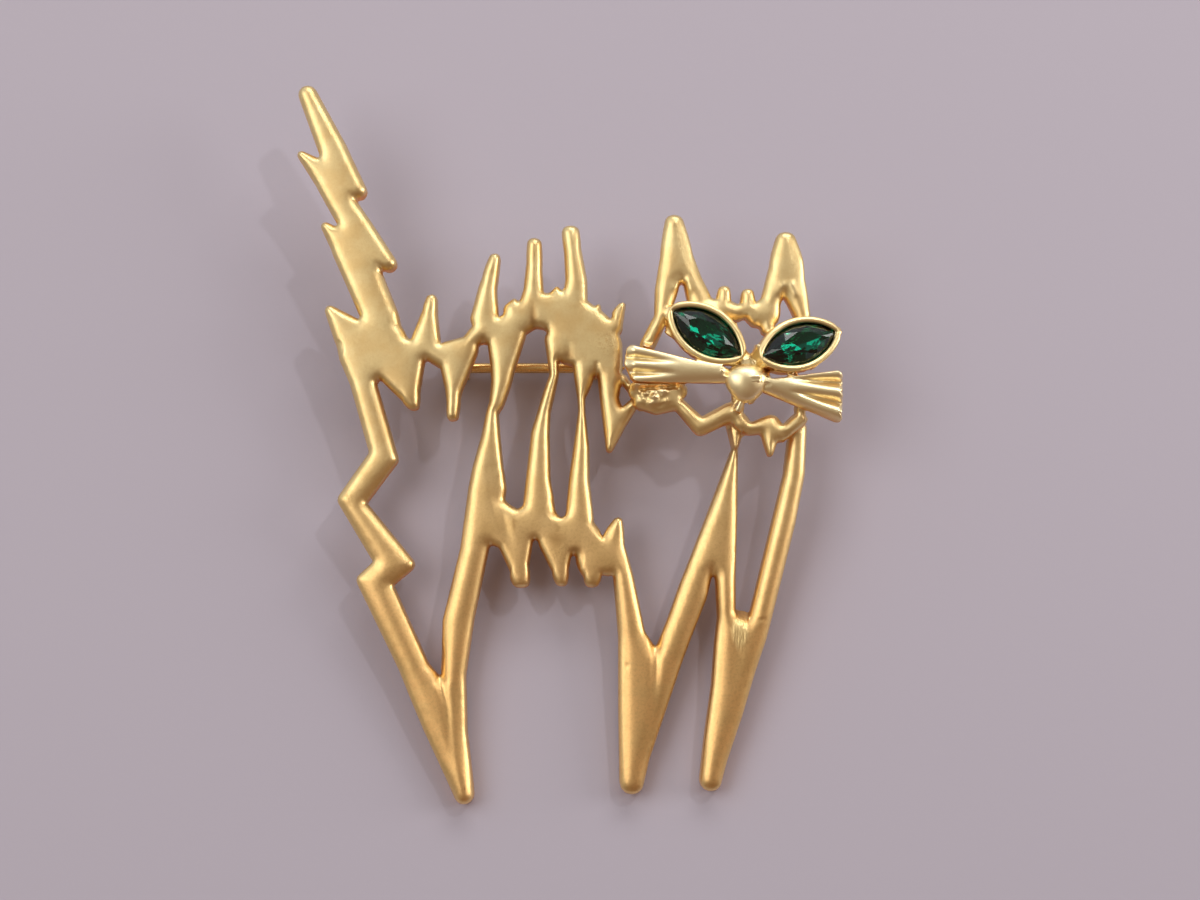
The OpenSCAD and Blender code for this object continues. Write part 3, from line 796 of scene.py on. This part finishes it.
def mark_surface(mesh, flat, normals):
    """Notes for the material how near each point is to an edge, for paler gold that is partly a painted
    highlight, how steep and high it is, for painted shade on steep sides, and its patches, among them painted
    shade in hollows.
    """
    up = normals[:, 2]
    shade_to_feet = np.clip(-SIDE_SHADE_TO_FEET * normals[:, 1], 0, 1)
    # Paler gold near the edges: partly polish, partly a painted highlight
    edge = np.zeros(len(flat))
    for level in LEVELS:
        wall, face = walls_and_faces(flat, up, level, 0)
        away = np.linalg.norm(flat[face, :2] - near_walls(flat[wall], flat[face]), axis=1)
        edge[face] = 1 - np.clip(away / EDGE_POLISH_AND_HIGHLIGHT_REACH, 0, 1)
    # Painted shade: steep sides get an orange-brown tint, most of all those facing the feet, standing in for
    # their shade
    side = np.clip(1 - up / SHADED_SIDE_LEAN, 0, 1) * (SHADED_SIDE_LEAST + (1 - SHADED_SIDE_LEAST) * shade_to_feet)
    marks = {
        "edge": edge,
        # painted shade on the steep sides, left out on the web
        "side": side * (within(flat, *WEB) == 0),
        # painted shade in the hollows and cracks of the face
        "hollow_shade": patches(flat, SHADED_HOLLOWS),
        "raised": np.clip((flat[:, 2] - WHISKER_LEVEL) / WHISKER_BLEND, 0, 1),
        "high": step_between(flat[:, 1], *GOLD_CHANGES),
        "web": patches(flat, [WEB], WEB_EDGE),
        "scuff": patches(flat, SCUFFS),
    }
    for name, values in marks.items():
        attribute = mesh.attributes.new(name, "FLOAT", "POINT")
        attribute.data.foreach_set("value", values.astype(np.float32))


def make_nose():
    """Glossy egg-shaped nose, its point down."""
    bm = bmesh.new()
    bmesh.ops.create_uvsphere(bm, u_segments=48, v_segments=28, radius=1)
    for v in bm.verts:
        x, y, z = v.co
        wide = NOSE_HALF_WIDTH * (1 + NOSE_TAPER * y - NOSE_ENDS * y * y)
        reach = NOSE_UP if y > 0 else NOSE_DOWN
        place = NOSE_PLACE + Vector((x * wide, y * reach, z * NOSE_HEIGHT))
        v.co = Vector(unflattened(np.array(place)))
    mesh = new_mesh("nose", bm, "nose")
    shade_smooth(mesh)
    new_object("nose", mesh, "gold_plate")


# Materials

class Nodes:
    """Short ways to add the nodes of one material."""

    def __init__(self, name):
        self.material = bpy.data.materials.new(name)
        self.material.use_nodes = True
        self.tree = self.material.node_tree
        self.shader = self.tree.nodes["Principled BSDF"]
        self.place = self.add("ShaderNodeTexCoord").outputs["Object"]

    def add(self, kind, inputs=None, **settings):
        node = self.tree.nodes.new(kind)
        for key, value in settings.items():
            setattr(node, key, value)
        for key, value in (inputs or {}).items():
            self.put(value, node.inputs[key])
        return node

    def put(self, value, socket):
        if isinstance(value, bpy.types.NodeSocket):
            self.tree.links.new(value, socket)
        else:
            socket.default_value = value

    def attribute(self, name):
        return self.add("ShaderNodeAttribute", attribute_name=name).outputs["Fac"]

    def math(self, operation, a, b):
        return self.add("ShaderNodeMath", {0: a, 1: b}, operation=operation).outputs[0]

    def stretched(self, scale):
        """Places whose noise is drawn out along the axes of small scale."""
        return self.add("ShaderNodeMapping", {"Vector": self.place, "Scale": scale}).outputs["Vector"]

    def noise(self, size, detail=2.0, roughness=0.5, place=None):
        """Noise whose grains are about that many metres across."""
        inputs = {"Vector": place or self.place, "Scale": 1 / size, "Detail": detail, "Roughness": roughness}
        return self.add("ShaderNodeTexNoise", inputs).outputs["Fac"]

    def spread(self, value, low, high, to_low=0.0, to_high=1.0):
        """Soft step from one value to another as the given value goes from low to high."""
        inputs = {"Value": value, "From Min": low, "From Max": high, "To Min": to_low, "To Max": to_high}
        return self.add("ShaderNodeMapRange", inputs, interpolation_type="SMOOTHSTEP").outputs["Result"]

    def mix(self, share, a, b):
        """Mixes two colours, given as three numbers or as sockets."""
        node = self.add("ShaderNodeMix", {"Factor": share}, data_type="RGBA")
        for value, name in ((a, "A_Color"), (b, "B_Color")):
            socket = next(s for s in node.inputs if s.identifier == name)
            self.put(value if isinstance(value, bpy.types.NodeSocket) else (*value, 1), socket)
        return next(s for s in node.outputs if s.identifier == "Result_Color")

    def tinted(self, colour, tint, where, strength):
        """Mixes a tint into a colour where a mark or a noise says so."""
        return self.mix(self.math("MULTIPLY", where, strength), colour, tint)

    def bump(self, height, distance, strength=1.0, normal=None):
        inputs = {"Height": height, "Distance": distance, "Strength": strength}
        if normal:
            inputs["Normal"] = normal
        return self.add("ShaderNodeBump", inputs).outputs["Normal"]

    def finish(self, **sockets):
        for name, value in sockets.items():
            self.put(value, self.shader.inputs[name.replace("_", " ")])
        return self.material


TOP_GOLD = (0.835, 0.645, 0.32)
LEG_GOLD = (0.86, 0.53, 0.215)
DULL_GOLD = (0.74, 0.49, 0.2)
WORN_GOLD = (0.62, 0.38, 0.15)
# Paler gold for the edges and the web: partly polish, partly a painted highlight
EDGE_POLISH_AND_HIGHLIGHT_GOLD = (1.0, 0.81, 0.39)
# Painted shade: dark brownish gold for the hollows and cracks of the face
HOLLOW_SHADE_GOLD = (0.5, 0.28, 0.1)
# Painted shade: orange-brown gold for the steep sides, most of all those facing the feet
SIDE_SHADE_GOLD = (1.0, 0.42, 0.09)
ROSE_GOLD = (1.0, 0.84, 0.5)
RIM_GOLD = (1.0, 0.79, 0.4)
PIN_GOLD = (0.9, 0.58, 0.22)
GLASS_GREEN = (0.01, 0.33, 0.24)
FOIL_GREEN = (0.01, 0.33, 0.26)
FLOOR_LILAC = (0.45, 0.41, 0.48)


def satin_gold():
    """Satin plating: warmer towards the feet, dulled, speckled and scuffed, with painted shade in its hollows
    and on its steep sides, and paler edges that are partly polish and partly a painted highlight.
    """
    n = Nodes("satin_gold")
    edge = n.attribute("edge")
    high = n.attribute("high")
    raised = n.attribute("raised")
    web = n.attribute("web")
    scuff = n.attribute("scuff")
    cloud = n.noise(2.5 * MM, detail=3)
    grain = n.noise(0.1 * MM, detail=3, roughness=0.65)
    pits = n.noise(0.22 * MM, detail=3, roughness=0.7)
    speckle = n.spread(n.noise(0.28 * MM, detail=3, roughness=0.7), 0.42, 0.68)
    speckle_strength = n.spread(high, 0, 1, to_low=0.42, to_high=0.16)
    worn = n.math("MULTIPLY", n.spread(pits, 0.48, 0.62), scuff)

    face = n.mix(high, LEG_GOLD, TOP_GOLD)
    face = n.tinted(face, DULL_GOLD, where=n.spread(cloud, 0.35, 0.7), strength=0.6)
    face = n.tinted(face, WORN_GOLD, where=worn, strength=0.7)
    face = n.tinted(face, WORN_GOLD, where=speckle, strength=speckle_strength)
    # Painted shade: the hollows and cracks are darkened
    face = n.tinted(face, HOLLOW_SHADE_GOLD, where=n.attribute("hollow_shade"), strength=0.75)
    face = n.mix(raised, face, ROSE_GOLD)
    # Paler gold on the edges and the web: partly polish, partly a painted highlight
    colour = n.tinted(face, EDGE_POLISH_AND_HIGHLIGHT_GOLD, where=n.math("MAXIMUM", edge, web), strength=0.55)
    # Painted shade on the steep sides
    colour = n.tinted(colour, SIDE_SHADE_GOLD, where=n.attribute("side"), strength=0.95)

    rough = n.spread(grain, 0.3, 0.7, to_low=0.37, to_high=0.47)
    rough = n.math("ADD", rough, n.math("MULTIPLY", edge, -0.1))
    rough = n.math("ADD", rough, n.math("MULTIPLY", raised, -0.05))

    filed = n.noise(0.14 * MM, detail=1, place=n.stretched((1, 0.04, 1)))
    normal = n.bump(grain, distance=0.015 * MM, strength=0.45)
    normal = n.bump(n.noise(0.9 * MM), distance=0.02 * MM, strength=0.5, normal=normal)
    normal = n.bump(n.noise(0.35 * MM), distance=0.012 * MM, strength=0.5, normal=normal)
    normal = n.bump(n.math("MULTIPLY", pits, scuff), distance=0.05 * MM, strength=0.6, normal=normal)
    normal = n.bump(n.math("MULTIPLY", filed, web), distance=0.08 * MM, strength=0.8, normal=normal)
    return n.finish(Base_Color=colour, Metallic=1, Roughness=rough, Normal=normal)


def rim_gold():
    """Burnished by hand, so softly uneven."""
    n = Nodes("rim_gold")
    normal = n.bump(n.noise(0.6 * MM), distance=0.02 * MM, strength=0.5)
    return n.finish(Base_Color=(*RIM_GOLD, 1), Metallic=1, Roughness=0.36, Normal=normal)


def nose_gold():
    n = Nodes("nose_gold")
    rough = n.spread(n.noise(0.7 * MM, detail=3), 0.3, 0.7, to_low=0.36, to_high=0.42)
    normal = n.bump(n.noise(0.9 * MM), distance=0.01 * MM, strength=0.4)
    return n.finish(Base_Color=(*ROSE_GOLD, 1), Metallic=1, Roughness=rough, Normal=normal)


def pin_gold():
    """Drawn wire, with fine marks along it."""
    n = Nodes("pin_gold")
    drawn = n.noise(0.08 * MM, place=n.stretched((0.1, 1, 1)))
    rough = n.spread(drawn, 0.3, 0.7, to_low=0.2, to_high=0.32)
    normal = n.bump(drawn, distance=0.006 * MM, strength=0.4)
    return n.finish(Base_Color=(*PIN_GOLD, 1), Metallic=1, Roughness=rough, Normal=normal)


def stone_glass():
    n = Nodes("stone_glass")
    return n.finish(Base_Color=(*GLASS_GREEN, 1), Roughness=0.0, IOR=1.55, Transmission_Weight=1)


def stone_foil():
    n = Nodes("stone_foil")
    normal = n.bump(n.noise(0.3 * MM, detail=1), distance=0.004 * MM, strength=0.5)
    return n.finish(Base_Color=(*FOIL_GREEN, 1), Metallic=1, Roughness=0.03, Normal=normal)


def floor_paper():
    n = Nodes("floor_paper")
    normal = n.bump(n.noise(1.2 * MM, detail=4), distance=0.05 * MM, strength=0.2)
    return n.finish(Base_Color=(*FLOOR_LILAC, 1), Roughness=0.85, Normal=normal)


# Surroundings

FLOOR_HALF = 0.6
# Lamps: name, place, size, power in watts and colour
LAMPS = [
    ("window", (-0.26, 0.04, 0.34), (0.3, 0.28), 0.66, (1, 0.98, 0.94)),
    ("lamp", (0.4, 0.05, 0.11), (0.16, 0.3), 0.8, (1, 0.98, 0.95)),
    ("back", (0.1, 0.4, 0.28), (0.4, 0.16), 0.85, (1, 0.98, 0.95)),
    ("spark", (0.2, 0.22, 0.4), (0.02, 0.02), 0.25, (1, 1, 1)),
]
# Studio walls: the direction of their bright side, how far along it they change, and their three colours
BRIGHT_SIDE = (-0.5, 0.87, 0)
WALL_SPAN = 0.8
WALL_DARK = (0.24, 0.15, 0.1)
WALL_MIDDLE = (0.29, 0.24, 0.19)
WALL_BRIGHT = (0.64, 0.67, 0.71)


def make_floor():
    h = FLOOR_HALF
    mesh = bpy.data.meshes.new("floor")
    mesh.from_pydata([(-h, -h, 0), (h, -h, 0), (h, h, 0), (-h, h, 0)], [], [(0, 1, 2, 3)])
    obj = bpy.data.objects.new("floor", mesh)
    bpy.context.scene.collection.objects.link(obj)
    mesh.materials.append(floor_paper())


def make_lamp(name, place, size, power, colour):
    light = bpy.data.lights.new(name, "AREA")
    light.shape = "RECTANGLE"
    light.size, light.size_y = size
    light.energy = power
    light.color = colour
    obj = bpy.data.objects.new(name, light)
    obj.location = place
    obj.rotation_euler = (-Vector(place)).to_track_quat("-Z", "Y").to_euler()
    bpy.context.scene.collection.objects.link(obj)


def make_studio():
    """Soft studio walls, brighter from the left and from behind, dimmer and warmer on the viewer's side."""
    world = bpy.data.worlds.new("studio")
    bpy.context.scene.world = world
    world.use_nodes = True
    tree = world.node_tree
    direction = tree.nodes.new("ShaderNodeTexCoord").outputs["Generated"]
    towards = tree.nodes.new("ShaderNodeVectorMath")
    towards.operation = "DOT_PRODUCT"
    towards.inputs[1].default_value = BRIGHT_SIDE
    tree.links.new(direction, towards.inputs[0])
    share = tree.nodes.new("ShaderNodeMapRange")
    share.inputs["From Min"].default_value = -WALL_SPAN
    share.inputs["From Max"].default_value = WALL_SPAN
    tree.links.new(towards.outputs["Value"], share.inputs["Value"])
    ramp = tree.nodes.new("ShaderNodeValToRGB")
    tree.links.new(share.outputs["Result"], ramp.inputs["Fac"])
    ramp.color_ramp.elements[0].color = (*WALL_DARK, 1)
    ramp.color_ramp.elements[1].color = (*WALL_BRIGHT, 1)
    ramp.color_ramp.elements.new(0.5).color = (*WALL_MIDDLE, 1)
    tree.links.new(ramp.outputs["Color"], tree.nodes["Background"].inputs["Color"])


def make_camera():
    data = bpy.data.cameras.new("camera")
    data.lens = CAMERA_LENS
    data.sensor_width = CAMERA_SENSOR
    data.clip_start = CAMERA_NEAR
    obj = bpy.data.objects.new("camera", data)
    up = math.radians(CAMERA_UP)
    back = Vector((0, -math.cos(up), math.sin(up)))
    obj.location = CAMERA_AIM + back * CAMERA_AWAY
    obj.rotation_euler = (-back).to_track_quat("-Z", "Y").to_euler()
    bpy.context.scene.collection.objects.link(obj)
    bpy.context.scene.camera = obj


MATERIALS = {
    "satin": satin_gold(),
    "rim": rim_gold(),
    "nose": nose_gold(),
    "pin": pin_gold(),
    "glass": stone_glass(),
    "foil": stone_foil(),
}
make_camera()
make_studio()
for lamp in LAMPS:
    make_lamp(*lamp)
make_floor()
make_casting()
make_nose()
for side in STONES:
    make_stone(side)
    make_rim(side)
nodes["pin_back"].data.materials.clear()
nodes["pin_back"].data.materials.append(MATERIALS["pin"])
bpy.context.scene.view_settings.view_transform = "Standard"
